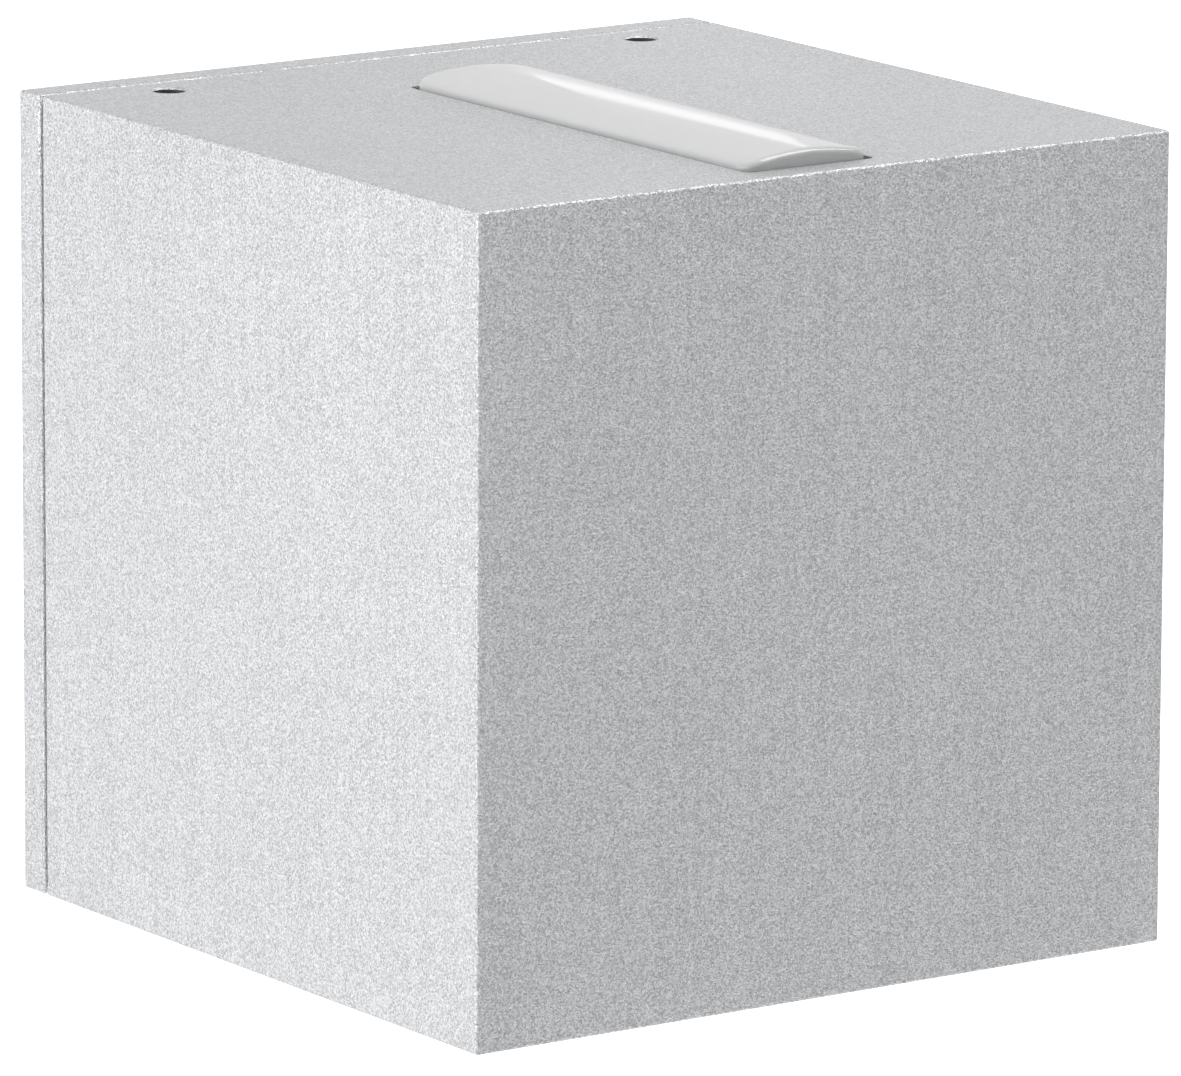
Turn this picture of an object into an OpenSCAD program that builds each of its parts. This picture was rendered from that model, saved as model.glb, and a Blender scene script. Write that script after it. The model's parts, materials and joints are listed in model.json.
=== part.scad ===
// Cube wall light that shines up and down the wall through two long lenses.
// Origin: centre of the wall plate's back face. +Y points into the wall, +Z is up, -Y is the front.
// The housing slides off its wall plate towards -Y once the two grub screws on top are backed out.

/* [Overall size] */
// Width across the front
body_w = 100; // [96:1:140]
// Height without the lenses
body_h = 100; // [98:1:140]
// Depth from the wall to the front face
body_d = 100; // [99:1:140]

/* [Housing] */
// Thickness of the housing's walls
wall_t = 2.5; // [2:0.1:3]
// Rounding of the four long outer edges
corner_r = 0.8; // [0.4:0.1:1.5]
// Gap between the wall plate and the housing, filled by the plate seal
seam_gap = 0.6; // [0.4:0.1:1]

/* [Wall plate] */
// Thickness of the wall plate
plate_t = 5; // [4:0.5:8]
// How far the plate's locating lip reaches into the housing
lip_d = 4; // [2:0.5:6]
// Thickness of the locating lip
lip_t = 2; // [1.5:0.1:3]
// Distance between the two wall screw slots
wall_screw_pitch = 60; // [50:1:66]
// Width of a wall screw slot
slot_w = 5; // [4:0.1:6]
// Length of a wall screw slot, end to end
slot_l = 9; // [7:0.5:12]
// Bore of the grommet that the mains cable comes in through
cable_d = 7; // [5:0.5:9]

/* [Grub screws] */
// Distance between the two grub screws
grub_pitch = 70; // [60:1:76]
// Thread diameter of a grub screw
grub_d = 4; // [3:0.5:5]
// Distance from the housing's back edge to a grub screw's axis
grub_inset = 5; // [4.5:0.1:7]
// How far a grub screw's top sits below the top face
grub_recess = 1.2; // [0.5:0.1:2]

/* [Lens] */
// Width of the lens across the top face
lens_w = 18; // [14:0.5:24]
// Length of the lens from back to front
lens_l = 71; // [60:1:71]
// How far the upper lens stands out of the top face
lens_rise = 2; // [1:0.1:4]
// How far the lower lens stands out of the underside
lower_lens_rise = 1; // [0.6:0.1:4]
// Distance from the front face to the lens's front end
lens_front_gap = 4.3; // [4.3:0.1:8]

/* [Light source] */
// Number of light-emitting diodes on each board
led_count = 6; // [4:1:6]
// Gap between the row of diodes and each end of the reflector's window
led_end_gap = 1.75; // [1:0.05:6]
// Width of a diode board
board_w = 19; // [16:0.5:20]
// Depth of the channel that carries a board and clamps its lens
carrier_h = 12; // [11:0.5:14]

/* [Driver] */
// Width of the driver case
driver_w = 58; // [50:1:64]
// Height of the driver case
driver_h = 32; // [28:1:36]
// Depth of the driver case
driver_t = 22; // [20:1:26]

/* [Clearances] */
// Gap between parts that slide past each other
slide_gap = 0.3; // [0.2:0.05:0.5]
// Radial gap of a screw in its tapped hole
thread_gap = 0.05; // [0.03:0.01:0.1]
// Radial gap of a screw in a clearance hole
screw_gap = 0.2; // [0.1:0.05:0.4]

/* [Hidden] */
$fn = 48;
eps = 0.01; // how far a cutter passes the face that it opens

// Y places, counted from the wall, and the inner faces of the housing's walls
plate_front = -plate_t;
rim_y = plate_front - seam_gap;
front_in = -body_d + wall_t;
side_in = body_w / 2 - wall_t;
top_in = body_h / 2 - wall_t;
lip_front = plate_front - lip_d;

// Plate details
seal_inset = 0.5;
lug_w = 10;
lug_t = 4;
lug_l = 11;
lug_gap = 0.05; // a tight grub screw stops this far above its lug
grub_x = grub_pitch / 2;
grub_y = rim_y - grub_inset;
grub_boss = grub_d + 4;
grub_boss_h = 4.5;
grub_l = 7.75;
grub_top = body_h / 2 - grub_recess;
lug_top = grub_top - grub_l - lug_gap;
hex_key = grub_d / 2;

// Grommet: a neck through the plate with a flange in a recess behind and one in front
grommet_neck_r = cable_d / 2 + 4.5;
grommet_flange_r = grommet_neck_r + 2;
grommet_flange_t = 1.5;
grommet_nose_r = cable_d / 2 + 2;
grommet_l = plate_t + grommet_flange_t + 2.5;

// Mains connector: a socket on the plate and a plug on the housing's leads
pole_pitch = 8;
poles = [-1, 0, 1];
socket_w = 30;
socket_d = 16;
socket_h = 18;
socket_top = -grommet_flange_r - 2;
socket_bottom = socket_top - socket_h;
socket_front = plate_front - socket_d;
socket_ear_w = 7;
socket_ear_t = 2.5;
socket_ear_h = 9;
pin_r = 1.2;
pin_gap = 0.05;
pin_l = 7;
pin_root = 3;
pin_z = socket_bottom + 4.5;
clamp_z = socket_top - 5;
clamp_r = 2.2;
clamp_depth = 5;
clamp_head = 1.6;
wire_hole_r = 1.7;
wire_hole_y = plate_front - socket_d + 8;
plug_w = 28;
plug_d = 14;
plug_h = 8.6;
plug_back = socket_front - slide_gap;
plug_front = plug_back - plug_d;

// Screws: [thread diameter, head diameter, head height]
m4 = [4, 7.5, 2.6];
m3 = [3, 5.6, 2];
m2_5 = [2.5, 4.6, 1.5];

// Earth studs
tag_t = 0.8;
tag_r = 4;
tag_barrel_r = 1.7;
tag_barrel_l = 6;
washer_t = 0.8;
earth_boss_r = 4.6;
plate_earth = [-wall_screw_pitch / 2 - 2, socket_top - socket_h / 2 + 1];
plate_earth_boss = 3;
housing_earth = [driver_w / 2 + 9, -driver_h / 2 - 8];
housing_earth_boss = 8;
earth_screw_l = 6;

// Lens stack, counted down from the top wall's inner face
lens_gap = 0.3;
lens_corner_r = 2.5;
opening_corner_r = 1;
lens_seal_t = 0.8;
lens_seal_margin = 0.4;
flange_t = 1.5;
flange_side = 3.5;
flange_end = 1.2;
dome_edge = 0.25; // height of the lens's upright edge above the top face
lens_front = -body_d + lens_front_gap;
lens_back = lens_front + lens_l;
lens_mid = (lens_front + lens_back) / 2;
lens_under = top_in - lens_seal_t - flange_t;

// Carrier channel, diode board and reflector
channel_t = 2;
channel_in = lens_w / 2 + 1.5;
channel_out = channel_in + channel_t;
board_tail = 8;
carrier_front = lens_front - flange_end;
carrier_back = lens_back + board_tail + 1.7;
floor_z = lens_under - carrier_h + channel_t;
pad_t = 0.5;
board_t = 1.6;
board_under = floor_z + pad_t;
board_top = board_under + board_t;
led_size = 3.5;
led_h = 0.8;
window_l = lens_l - 6; // length of the reflector's window over the diodes
led_pitch = (window_l - led_size - 2 * led_end_gap) / (led_count - 1);
lead_plug = [6, 5, 3.2];
carrier_boss_r = 3.5;
carrier_boss_h = 5;
carrier_ear_x = channel_out + 4.5;
carrier_ear_w = 8;
carrier_ear_t = 2;
carrier_ear_pitch = 54;
ear_top = top_in - carrier_boss_h;

// Driver
driver_boss_h = 4;
driver_boss_r = 4;
driver_ear_w = 12;
driver_ear_t = 2.5;
driver_ear_h = 12;
driver_wall = 1.8;
driver_front = front_in + driver_boss_h;
driver_back = driver_front + driver_t;
driver_screw_x = driver_w / 2 + driver_ear_w / 2;
driver_board_t = 1.6;
driver_standoff = 3;
board_back = driver_front + driver_wall + driver_standoff + driver_board_t;
terminal_size = [16, 7, 8];
in_terminal = [-driver_w / 2 + 14, -driver_h / 2 + 7];
out_terminal = [driver_w / 2 - 14, driver_h / 2 - 8];
terminal_face = driver_back + terminal_size[1];

// Leads
mains_lead_r = 1.1;
led_lead_r = 0.7;
lead_sides = 8;
bend_steps = 4;

// ---------- shared shapes ----------

// A rectangle with round corners, drawn with true arcs
module rounded_rect(w, h, r) {
  square([w - 2 * r, h], center = true);
  square([w, h - 2 * r], center = true);
  for (x = [-1, 1], y = [-1, 1]) translate([x * (w / 2 - r), y * (h / 2 - r)]) circle(r);
}

// Stands a drawing up in the XZ plane and extrudes it from y = start to y = finish, towards the front
module along_y(start, finish) {
  translate([0, start, 0]) rotate([90, 0, 0]) linear_extrude(start - finish) children();
}

module box(x0, x1, y0, y1, z0, z1) {
  translate([x0, y0, z0]) cube([x1 - x0, y1 - y0, z1 - z0]);
}

// A cylinder along -Y that starts at point p
module rod_y(p, r, l) {
  translate(p) rotate([90, 0, 0]) cylinder(h = l, r = r);
}

// Draws for the top of the lamp, or mirrored for the bottom
module on_face(up) {
  mirror([0, 0, up > 0 ? 0 : 1]) children();
}

// A pan head screw along +Z with the underside of its head at z = 0 and its shank upwards
module pan_screw(size, l) {
  head_r = size[1] / 2;
  head_h = size[2];
  cross_w = size[0] * 0.22;
  difference() {
    union() {
      cylinder(h = l, r = size[0] / 2);
      translate([0, 0, -head_h * 0.45]) cylinder(h = head_h * 0.45, r = head_r);
      translate([0, 0, -head_h]) cylinder(h = head_h * 0.55, r1 = head_r * 0.72, r2 = head_r);
    }
    for (turn = [0, 90]) rotate(turn)
      translate([-head_r * 0.5, -cross_w / 2, -head_h - eps]) cube([head_r, cross_w, head_h * 0.6]);
  }
}

// A pan head screw that is driven towards the front from point p
module screw_to_front(p, size, l) {
  translate(p) rotate([90, 0, 0]) pan_screw(size, l);
}

// A pan head screw that is driven towards the wall from point p
module screw_to_wall(p, size, l) {
  translate(p) rotate([-90, 0, 0]) pan_screw(size, l);
}

// A ring terminal whose ring lies in the XZ plane on y = 0 and whose barrel points along +X
module ring_tag(hole_r) {
  difference() {
    union() {
      rod_y([0, 0, 0], tag_r, tag_t);
      box(0, tag_r + 1, -tag_t, 0, -tag_barrel_r, tag_barrel_r);
      translate([tag_r + 0.5, -tag_barrel_r, 0]) rotate([0, 90, 0])
        cylinder(h = tag_barrel_l, r = tag_barrel_r);
    }
    rod_y([0, eps, 0], hole_r, tag_t + 2 * eps);
  }
}

// ---------- leads: a tube swept along rounded corners ----------

function unit(v) = v / norm(v);
function mix(a, b, t) = a * (1 - t) + b * t;

// Replaces each inner corner of a route by a curve that starts and ends at distance bend from it,
// or nearer where a neighbouring corner is close
function rounded_route(p, bend) = [
  p[0],
  for (i = [1:len(p) - 2])
    let (before = p[i - 1] - p[i], after = p[i + 1] - p[i])
    let (d = min(bend, 0.49 * norm(before), 0.49 * norm(after)))
    let (a = p[i] + unit(before) * d, b = p[i] + unit(after) * d)
      for (s = [0:bend_steps])
        let (t = s / bend_steps) mix(mix(a, p[i], t), mix(p[i], b, t), t),
  p[len(p) - 1]
];

function direction(p, i) =
  i == 0 ? unit(p[1] - p[0]) :
  i == len(p) - 1 ? unit(p[i] - p[i - 1]) :
  unit(unit(p[i + 1] - p[i]) + unit(p[i] - p[i - 1]));

// Carries the side direction u on to the next ring without twist
function carried(u, t) = unit(u - (u * t) * t);

module lead(route, r, bend) {
  p = rounded_route(route, bend);
  n = len(p);
  first = direction(p, 0);
  seed = abs(first[2]) < 0.9 ? [0, 0, 1] : [1, 0, 0];
  sides = [for (i = 0, u = carried(seed, first); i < n; i = i + 1,
    u = i < n ? carried(u, direction(p, i)) : u) u];
  rings = [for (i = [0:n - 1]) let (t = direction(p, i), u = sides[i], v = cross(t, u))
    for (k = [0:lead_sides - 1]) let (a = 360 * k / lead_sides) p[i] + r * (cos(a) * u + sin(a) * v)];
  skin = [for (i = [0:n - 2], k = [0:lead_sides - 1]) let (k2 = (k + 1) % lead_sides)
    [i * lead_sides + k, (i + 1) * lead_sides + k, (i + 1) * lead_sides + k2, i * lead_sides + k2]];
  start_cap = [for (k = [0:lead_sides - 1]) k];
  end_cap = [for (k = [lead_sides - 1:-1:0]) (n - 1) * lead_sides + k];
  polyhedron(points = rings, faces = concat(skin, [start_cap, end_cap]));
}

// ---------- wall side ----------

module wall_plate() {
  color("silver") difference() {
    union() {
      along_y(0, plate_front) rounded_rect(body_w, body_h, corner_r);
      locating_lip();
      for (x = [-1, 1]) translate([x * grub_x, 0, 0])
        box(-lug_w / 2, lug_w / 2, plate_front - lug_l, plate_front + eps, lug_top - lug_t, lug_top);
      rod_y([plate_earth[0], plate_front + eps, plate_earth[1]], earth_boss_r, plate_earth_boss + eps);
    }
    for (x = [-1, 1]) translate([x * wall_screw_pitch / 2, 0, 0]) wall_slot();
    rod_y([0, eps, 0], grommet_neck_r, plate_t + 2 * eps);
    rod_y([0, eps, 0], grommet_flange_r, grommet_flange_t + eps);
    rod_y([plate_earth[0], plate_front - plate_earth_boss + earth_screw_l + 0.5, plate_earth[1]],
      m4[0] / 2 + thread_gap, earth_screw_l + 0.5 + eps);
    for (x = [-1, 1]) rod_y([x * socket_screw_x(), eps, socket_ear_z()],
      m3[0] / 2 + thread_gap, plate_t + 2 * eps);
  }
}

// The lip stops short of the two grub screw bosses in the top corners
module locating_lip() {
  out = slide_gap;
  difference() {
    along_y(plate_front + eps, lip_front)
      rounded_rect(2 * (side_in - out), 2 * (top_in - out), corner_r);
    along_y(plate_front + 1, lip_front - 1)
      square([2 * (side_in - out - lip_t), 2 * (top_in - out - lip_t)], center = true);
    for (x = [-1, 1]) translate([x * grub_x, 0, 0])
      box(-grub_boss / 2 - 1, grub_boss / 2 + 1, lip_front - 1, plate_front,
        top_in - out - lip_t - 1, top_in);
  }
}

module wall_slot() {
  along_y(eps, plate_front - eps) {
    square([slot_l - slot_w, slot_w], center = true);
    for (x = [-1, 1]) translate([x * (slot_l - slot_w) / 2, 0]) circle(slot_w / 2);
  }
}

module plate_seal() {
  color("black") along_y(plate_front, rim_y) difference() {
    rounded_rect(body_w - 2 * seal_inset, body_h - 2 * seal_inset, corner_r);
    square([2 * side_in, 2 * top_in], center = true);
  }
}

// Turned shape: the flange sits in the plate's recess, the neck fills the hole, the nose grips the cable
module cable_grommet() {
  profile = [
    [cable_d / 2, 0], [grommet_flange_r - 0.2, 0], [grommet_flange_r - 0.2, grommet_flange_t],
    [grommet_neck_r, grommet_flange_t], [grommet_neck_r, plate_t], [grommet_flange_r, plate_t],
    [grommet_flange_r, plate_t + grommet_flange_t], [grommet_nose_r + 1, plate_t + grommet_flange_t],
    [grommet_nose_r, grommet_l], [cable_d / 2, grommet_l]
  ];
  color("dimgray") rotate([90, 0, 0]) rotate_extrude() polygon(profile);
}

function socket_screw_x() = socket_w / 2 + socket_ear_w / 2;
function socket_ear_z() = socket_bottom + socket_ear_h / 2;

module terminal_socket() {
  color("whitesmoke") difference() {
    union() {
      box(-socket_w / 2, socket_w / 2, socket_front, plate_front, socket_bottom, socket_top);
      for (x = [-1, 1]) translate([x * socket_screw_x(), 0, 0])
        box(-socket_ear_w / 2, socket_ear_w / 2, plate_front - socket_ear_t, plate_front,
          socket_bottom, socket_bottom + socket_ear_h);
    }
    for (x = [-1, 1]) rod_y([x * socket_screw_x(), plate_front + 1, socket_ear_z()],
      m3[0] / 2 + screw_gap, socket_ear_t + 2);
    for (i = poles) {
      rod_y([i * pole_pitch, socket_front + clamp_depth, clamp_z], clamp_r, clamp_depth + eps);
      rod_y([i * pole_pitch, socket_front + pin_root, pin_z], pin_r, pin_root + eps);
      translate([i * pole_pitch, wire_hole_y, socket_top - 3]) cylinder(h = 3 + eps, r = wire_hole_r);
    }
  }
}

module contact_pins() {
  color("gold") for (i = poles) translate([i * pole_pitch, socket_front + pin_root, pin_z])
    rotate([90, 0, 0]) {
      cylinder(h = pin_root + pin_l - 0.6, r = pin_r);
      translate([0, 0, pin_root + pin_l - 0.6]) cylinder(h = 0.6, r1 = pin_r, r2 = pin_r - 0.5);
    }
}

module terminal_screws() {
  color("silver") for (i = poles) translate([i * pole_pitch, socket_front + clamp_depth, clamp_z])
    rotate([90, 0, 0]) difference() {
      cylinder(h = clamp_depth - clamp_head / 2, r = clamp_r - 0.2);
      translate([-clamp_r, -0.4, clamp_depth - clamp_head]) cube([2 * clamp_r, 0.8, clamp_head]);
    }
}

module socket_screws() {
  color("silver") for (x = [-1, 1])
    screw_to_wall([x * socket_screw_x(), plate_front - socket_ear_t, socket_ear_z()],
      m3, plate_t + socket_ear_t - 1);
}

// Ring terminal, washer and screw lie on each other from the boss outwards
plate_earth_y = plate_front - plate_earth_boss;

module plate_earth_tag() {
  color("gold") translate([plate_earth[0], plate_earth_y, plate_earth[1]])
    ring_tag(m4[0] / 2 + screw_gap);
}

module earth_washer(place) {
  color("silver") difference() {
    rod_y(place - [0, tag_t, 0], tag_r, washer_t);
    rod_y(place - [0, tag_t - eps, 0], m4[0] / 2 + screw_gap, washer_t + 2 * eps);
  }
}

module plate_earth_washer() {
  earth_washer([plate_earth[0], plate_earth_y, plate_earth[1]]);
}

module plate_earth_screw() {
  color("gold") screw_to_wall([plate_earth[0], plate_earth_y - tag_t - washer_t, plate_earth[1]],
    m4, earth_screw_l);
}

module plate_earth_lead() {
  start = [plate_earth[0] + tag_r + 0.5 + tag_barrel_l, plate_earth_y - tag_barrel_r, plate_earth[1]];
  color("yellowgreen") lead([start, start + [3, 0, 0], [-socket_w / 2 - 3, wire_hole_y, clamp_z],
    [-socket_w / 2, wire_hole_y, clamp_z]], mains_lead_r, 3);
}

// ---------- housing ----------

module housing() {
  color("silver") difference() {
    union() {
      difference() {
        along_y(rim_y, -body_d) rounded_rect(body_w, body_h, corner_r);
        along_y(rim_y + 1, front_in) square([2 * side_in, 2 * top_in], center = true);
      }
      for (x = [-1, 1]) translate([x * grub_x, 0, 0])
        box(-grub_boss / 2, grub_boss / 2, grub_y - grub_boss / 2, grub_y + grub_boss / 2 - 1,
          top_in - grub_boss_h, top_in + eps);
      for (up = [-1, 1], x = [-1, 1], y = [-1, 1]) on_face(up)
        translate([x * carrier_ear_x, lens_mid + y * carrier_ear_pitch / 2, ear_top])
          cylinder(h = carrier_boss_h + eps, r = carrier_boss_r);
      for (x = [-1, 1]) rod_y([x * driver_screw_x, driver_front, 0], driver_boss_r, driver_boss_h + eps);
      rod_y([housing_earth[0], front_in + housing_earth_boss, housing_earth[1]],
        earth_boss_r, housing_earth_boss + eps);
    }
    for (up = [-1, 1]) on_face(up) translate([0, lens_mid, top_in - 1])
      linear_extrude(wall_t + 2)
        rounded_rect(lens_w + 2 * lens_gap, lens_l + 2 * lens_gap, opening_corner_r);
    for (x = [-1, 1]) translate([x * grub_x, grub_y, 0]) grub_bore();
    for (up = [-1, 1], x = [-1, 1], y = [-1, 1]) on_face(up)
      translate([x * carrier_ear_x, lens_mid + y * carrier_ear_pitch / 2, ear_top - eps])
        cylinder(h = carrier_boss_h - 0.2, r = m3[0] / 2 + thread_gap);
    for (x = [-1, 1]) rod_y([x * driver_screw_x, driver_front + eps, 0],
      m3[0] / 2 + thread_gap, driver_boss_h + 0.6);
    rod_y([housing_earth[0], front_in + housing_earth_boss + eps, housing_earth[1]],
      m4[0] / 2 + thread_gap, earth_screw_l + 0.5);
  }
}

// The threaded hole with a small countersink at the top face
module grub_bore() {
  r = grub_d / 2 + thread_gap;
  translate([0, 0, top_in - grub_boss_h - 1]) cylinder(h = wall_t + grub_boss_h + 2, r = r);
  translate([0, 0, body_h / 2 - 0.25]) cylinder(h = 0.25 + eps, r1 = r, r2 = r + 0.25);
}

module grub_screw(x) {
  point = 1;
  color("dimgray") translate([x * grub_x, grub_y, grub_top - grub_l]) difference() {
    union() {
      cylinder(h = point, r1 = grub_d / 4, r2 = grub_d / 2);
      translate([0, 0, point]) cylinder(h = grub_l - point - 0.3, r = grub_d / 2);
      translate([0, 0, grub_l - 0.3]) cylinder(h = 0.3, r1 = grub_d / 2, r2 = grub_d / 2 - 0.3);
    }
    translate([0, 0, grub_l - hex_key]) cylinder(h = hex_key + eps, d = hex_key / cos(30), $fn = 6);
  }
}

// ---------- lens and light source, drawn for the top ----------

// Half of a flattened, round-shouldered arch
function dome_point(angle, rise) =
  let (a = lens_w / 2, arch = rise - dome_edge, c = cos(angle))
  [a * sign(c) * pow(abs(c), 1.4), body_h / 2 + dome_edge + arch * pow(sin(angle), 0.82)];

module lens(rise) {
  outline = concat([[lens_w / 2, lens_under]], [for (angle = [0:10:180]) dome_point(angle, rise)],
    [[-lens_w / 2, lens_under]]);
  color("whitesmoke", 0.8) {
    intersection() {
      along_y(lens_back, lens_front) polygon(outline);
      translate([0, lens_mid, lens_under])
        linear_extrude(body_h) rounded_rect(lens_w, lens_l, lens_corner_r);
    }
    difference() {
      translate([0, lens_mid, lens_under]) linear_extrude(flange_t)
        rounded_rect(lens_w + 2 * flange_side, lens_l + 2 * flange_end, lens_corner_r);
      translate([0, lens_mid, lens_under - 1]) linear_extrude(flange_t + 2)
        rounded_rect(lens_w, lens_l, lens_corner_r);
    }
  }
}

module lens_seal() {
  color("dimgray") translate([0, lens_mid, top_in - lens_seal_t]) linear_extrude(lens_seal_t)
    difference() {
      rounded_rect(lens_w + 2 * flange_side, lens_l + 2 * flange_end, lens_corner_r);
      rounded_rect(lens_w + 2 * lens_seal_margin, lens_l + 2 * lens_seal_margin, lens_corner_r);
    }
}

module carrier() {
  color("lightgray") difference() {
    union() {
      difference() {
        box(-channel_out, channel_out, carrier_front, carrier_back, lens_under - carrier_h, lens_under);
        box(-channel_in, channel_in, carrier_front - 1, carrier_back + 1, floor_z, lens_under + 1);
      }
      for (x = [-1, 1], y = [-1, 1]) translate([0, lens_mid + y * carrier_ear_pitch / 2, 0])
        box(min(x * (channel_out - eps), x * (carrier_ear_x + carrier_ear_w / 2)),
          max(x * (channel_out - eps), x * (carrier_ear_x + carrier_ear_w / 2)),
          -carrier_ear_w / 2, carrier_ear_w / 2, ear_top - carrier_ear_t, ear_top);
    }
    for (x = [-1, 1], y = [-1, 1])
      translate([x * carrier_ear_x, lens_mid + y * carrier_ear_pitch / 2, ear_top - carrier_ear_t - 1])
        cylinder(h = carrier_ear_t + 2, r = m3[0] / 2 + screw_gap);
    for (y = [-1, 1]) translate([0, lens_mid + y * led_pitch, floor_z - channel_t - 1])
      cylinder(h = channel_t + 2, r = m2_5[0] / 2 + thread_gap);
  }
}

module carrier_screws() {
  color("silver") for (x = [-1, 1], y = [-1, 1])
    translate([x * carrier_ear_x, lens_mid + y * carrier_ear_pitch / 2, ear_top - carrier_ear_t])
      pan_screw(m3, carrier_ear_t + carrier_boss_h - 0.8);
}

// Flat layer under or in the diode board, with its two screw holes
module board_layer(w, y_front, y_back, z, t, hole_r) {
  difference() {
    box(-w / 2, w / 2, y_front, y_back, z, z + t);
    for (y = [-1, 1]) translate([0, lens_mid + y * led_pitch, z - 1])
      cylinder(h = t + 2, r = hole_r);
  }
}

module thermal_pad() {
  color("lightblue") board_layer(board_w - 1, lens_front + 1, lens_back + board_tail - 1, floor_z, pad_t,
    m2_5[0] / 2 + screw_gap);
}

module led_board() {
  color("white") board_layer(board_w, lens_front + 0.5, lens_back + board_tail, board_under, board_t,
    m2_5[0] / 2 + screw_gap);
}

module leds() {
  color("khaki") for (i = [0:led_count - 1])
    translate([0, lens_mid + (i - (led_count - 1) / 2) * led_pitch, board_top + led_h / 2])
      cube([led_size, led_size, led_h], center = true);
}

module board_screws() {
  color("silver") for (y = [-1, 1])
    translate([0, lens_mid + y * led_pitch, board_top]) mirror([0, 0, 1])
      pan_screw(m2_5, board_t + pad_t + channel_t - 0.3);
}

// A white trough: its floor window shows the diodes and its sides slope out to the lens
module reflector() {
  margin = 0.5;
  depth = lens_under - board_top;
  outer = [2 * channel_in - 0.2, lens_l - 2 * margin];
  window = [7.5, window_l];
  mouth = [lens_w - 1, lens_l - 2 * margin - 1.6];
  color("white") translate([0, lens_mid, board_top]) difference() {
    translate([0, 0, depth / 2]) cube([outer[0], outer[1], depth], center = true);
    hull() {
      translate([0, 0, -eps]) linear_extrude(eps) square(window, center = true);
      translate([0, 0, depth]) linear_extrude(eps) square(mouth, center = true);
    }
  }
}

module board_plug() {
  color("ivory") box(-lead_plug[0] / 2, lead_plug[0] / 2, lens_back + board_tail - 0.5 - lead_plug[1],
    lens_back + board_tail - 0.5, board_top, board_top + lead_plug[2]);
}

// ---------- driver ----------

module driver_case() {
  color("whitesmoke") difference() {
    union() {
      box(-driver_w / 2, driver_w / 2, driver_front, driver_back - driver_wall,
        -driver_h / 2, driver_h / 2);
      box(-driver_w / 2 - driver_ear_w, driver_w / 2 + driver_ear_w, driver_front,
        driver_front + driver_ear_t, -driver_ear_h / 2, driver_ear_h / 2);
    }
    box(-driver_w / 2 + driver_wall, driver_w / 2 - driver_wall, driver_front + driver_wall,
      driver_back, -driver_h / 2 + driver_wall, driver_h / 2 - driver_wall);
    for (x = [-1, 1]) rod_y([x * driver_screw_x, driver_front + driver_ear_t + 1, 0],
      m3[0] / 2 + screw_gap, driver_ear_t + 2);
  }
}

// The lid closes the case towards the wall and has windows for the two terminal blocks
module driver_cover() {
  color("white") difference() {
    union() {
      box(-driver_w / 2, driver_w / 2, driver_back - driver_wall, driver_back,
        -driver_h / 2, driver_h / 2);
      difference() {
        lid_rim(driver_wall + 0.1);
        translate([0, -1, 0]) lid_rim(driver_wall + 1.3);
      }
    }
    for (place = [in_terminal, out_terminal]) translate([place[0], 0, place[1]])
      box(-terminal_size[0] / 2 - 0.1, terminal_size[0] / 2 + 0.1, driver_back - 2 * driver_wall - 2,
        driver_back + 1, -terminal_size[2] / 2 - 0.1, terminal_size[2] / 2 + 0.1);
  }
}

// Block as wide as the case's inside less a margin on each side, down to the lid's rim depth
module lid_rim(margin) {
  rim_d = 2;
  box(-driver_w / 2 + margin, driver_w / 2 - margin, driver_back - driver_wall - rim_d,
    driver_back - driver_wall + (margin > driver_wall + 1 ? 2 : eps),
    -driver_h / 2 + margin, driver_h / 2 - margin);
}

module driver_board() {
  inner_w = driver_w / 2 - driver_wall - 0.5;
  inner_h = driver_h / 2 - driver_wall - 0.5;
  color("darkgreen") {
    box(-inner_w, inner_w, board_back - driver_board_t, board_back, -inner_h, inner_h);
    for (x = [-1, 1], z = [-1, 1])
      rod_y([x * (inner_w - 3), board_back - driver_board_t, z * (inner_h - 3)], 1.5, driver_standoff);
  }
}

module driver_transformer() {
  w = 13;
  h = 12;
  d = 9;
  color("goldenrod") {
    box(-w / 2, w / 2, board_back, board_back + 1.5, -h / 2, h / 2);
    box(-w / 2 + 1.5, w / 2 - 1.5, board_back + 1.5, board_back + d - 1.5, -h / 2 + 1, h / 2 - 1);
    box(-w / 2, w / 2, board_back + d - 1.5, board_back + d, -h / 2, h / 2);
  }
}

module driver_capacitors() {
  color("midnightblue") for (p = [[15, -6, 3.5], [22.5, -7, 3], [-16, 7, 3.5], [-23, 8, 2.5]])
    rod_y([p[0], board_back + 9, p[1]], p[2], 9);
}

// Both blocks stand on the driver's board and come out through the lid
module driver_terminals() {
  color("lightgray") for (spec = [[in_terminal, 2, 6], [out_terminal, 4, 3]])
    translate([spec[0][0], 0, spec[0][1]]) difference() {
      box(-terminal_size[0] / 2, terminal_size[0] / 2, board_back, terminal_face,
        -terminal_size[2] / 2, terminal_size[2] / 2);
      for (i = [0:spec[1] - 1]) translate([(i - (spec[1] - 1) / 2) * spec[2], 0, terminal_size[2] / 2])
        box(-0.7, 0.7, driver_back + 1.5, terminal_face - 1.5, -0.8, 1);
    }
}

module driver_screws() {
  color("silver") for (x = [-1, 1])
    screw_to_front([x * driver_screw_x, driver_front + driver_ear_t, 0], m3,
      driver_ear_t + driver_boss_h);
}

// ---------- leads on the housing side ----------

module terminal_plug() {
  color("whitesmoke") difference() {
    box(-plug_w / 2, plug_w / 2, plug_front, plug_back, socket_bottom + 0.2, socket_bottom + 0.2 + plug_h);
    for (i = poles) rod_y([i * pole_pitch, plug_back + eps, pin_z], pin_r + pin_gap, pin_l + 1);
  }
}

lead_start = [for (i = poles) [i * pole_pitch, plug_front, pin_z]];
run_y = (plug_front + terminal_face) / 2;

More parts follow.
